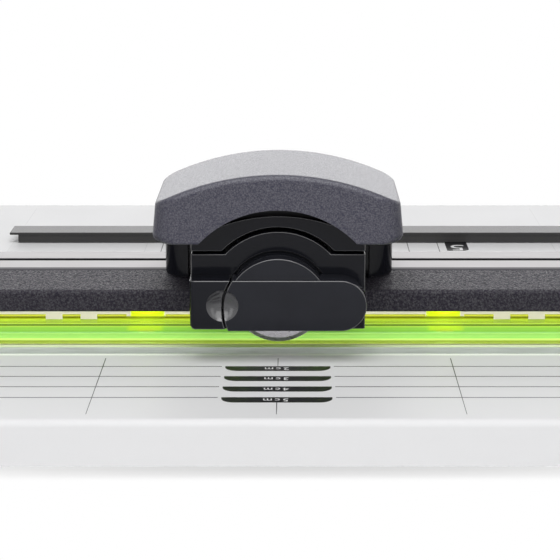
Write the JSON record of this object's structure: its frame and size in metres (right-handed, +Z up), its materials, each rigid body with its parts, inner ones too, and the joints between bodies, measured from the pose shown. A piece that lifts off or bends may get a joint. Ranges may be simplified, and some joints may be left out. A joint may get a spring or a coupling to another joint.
{
  "type": "rolling paper trimmer",
  "caption": "Desktop paper trimmer with a round blade in a sprung head that slides along a rail, a clear clamp strip, a flat table and a sliding back stop.",
  "frame": {"origin": "under the middle of the base, on the surface that the feet stand on", "axes": "+X along the rail to the user's right, +Y away from the user, +Z up"},
  "size_m": [0.44, 0.288, 0.0707],
  "materials": {
    "table_paint": "semi-gloss light grey paint",
    "beam_alu": "mill finish",
    "black_plastic": "fine grain",
    "screw_steel": "zinc plated",
    "foot_rubber": "matte",
    "knife_steel": "ground",
    "rail_alu": "satin",
    "cover_black": "coarse grain",
    "clamp_green": "clear, polished",
    "spring_steel": "plain",
    "head_black": "polished",
    "glide_white": "smooth",
    "pin_steel": "ground",
    "handle_grey": "grained",
    "blade_steel": "ground",
    "hub_brass": "turned",
    "stop_paint": "matte black paint"
  },
  "bodies": {
    "base": {"front_table": "table_paint", "rear_table": "table_paint", "cross_beam": "beam_alu", "end_cap_left": "black_plastic", "end_cap_right": "black_plastic", "cap_screws": "screw_steel", "rubber_feet": "foot_rubber", "counter_knife": "knife_steel", "knife_screws": "screw_steel", "guide_rail": "rail_alu", "rail_cover": "cover_black", "rail_bracket_left": "black_plastic", "rail_bracket_right": "black_plastic", "bracket_screws": "screw_steel", "rail_screws": "screw_steel", "side_guide_left": "black_plastic", "side_guide_right": "black_plastic", "guide_screws": "screw_steel", "clamp_springs": "spring_steel"},
    "clamp": {"clamp_strip": "clamp_green", "clamp_screws": "screw_steel"},
    "carriage": {"carriage_body": "head_black", "glide_pads": "glide_white", "guide_shoe": "glide_white", "shoe_screws": "screw_steel", "guide_pins": "pin_steel", "press_springs": "spring_steel"},
    "head": {"head_frame": "head_black", "handle_cap": "handle_grey", "handle_screws": "screw_steel", "blade_housing": "head_black", "housing_screws": "screw_steel", "blade_axle": "pin_steel", "axle_clip": "spring_steel", "pressure_spring": "spring_steel"},
    "blade": {"rotary_blade": "blade_steel", "blade_hub": "hub_brass", "hub_ring": "pin_steel"},
    "lever": {"cover_lever": "head_black"},
    "stop": {"stop_bar": "stop_paint", "stop_slider": "black_plastic", "stop_screws": "screw_steel", "stop_nut": "screw_steel"},
    "knob": {"stop_knob": "black_plastic"}
  },
  "joints": [
    {"name": "clamp_lift", "type": "slide", "parent": "base", "child": "clamp", "axis": [0, 0, 1], "range_m": [0, 0.001], "stiffness_N_per_m": 600, "springref_m": -0.003, "deforming": ["clamp_springs"]},
    {"name": "carriage_slide", "type": "slide", "parent": "base", "child": "carriage", "axis": [1, 0, 0], "range_m": [-0.159, 0.169]},
    {"name": "head_press", "type": "slide", "parent": "carriage", "child": "head", "axis": [0, 0, 1], "range_m": [-0.0026, 0], "stiffness_N_per_m": 1500, "springref_m": 0.006, "deforming": ["press_springs"]},
    {"name": "blade_spin", "type": "hinge", "parent": "head", "child": "blade", "pos_m": [-0.005, -0.074, 0.0319], "axis": [0, 1, 0], "continuous": true},
    {"name": "lever_turn", "type": "hinge", "parent": "head", "child": "lever", "pos_m": [-0.005, -0.074, 0.0319], "axis": [0, -1, 0], "range_deg": [0, 90]},
    {"name": "stop_slide", "type": "slide", "parent": "base", "child": "stop", "axis": [0, 1, 0], "range_m": [-0.082, 0.047]},
    {"name": "knob_turn", "type": "hinge", "parent": "stop", "child": "knob", "pos_m": [0.203, 0.0758, 0.034], "axis": [0, 0, 1], "range_deg": [0, 180]}
  ],
  "couplings": [
    {"joint": "blade_spin", "follows": "carriage_slide", "rad_per_m": 71.429}
  ]
}
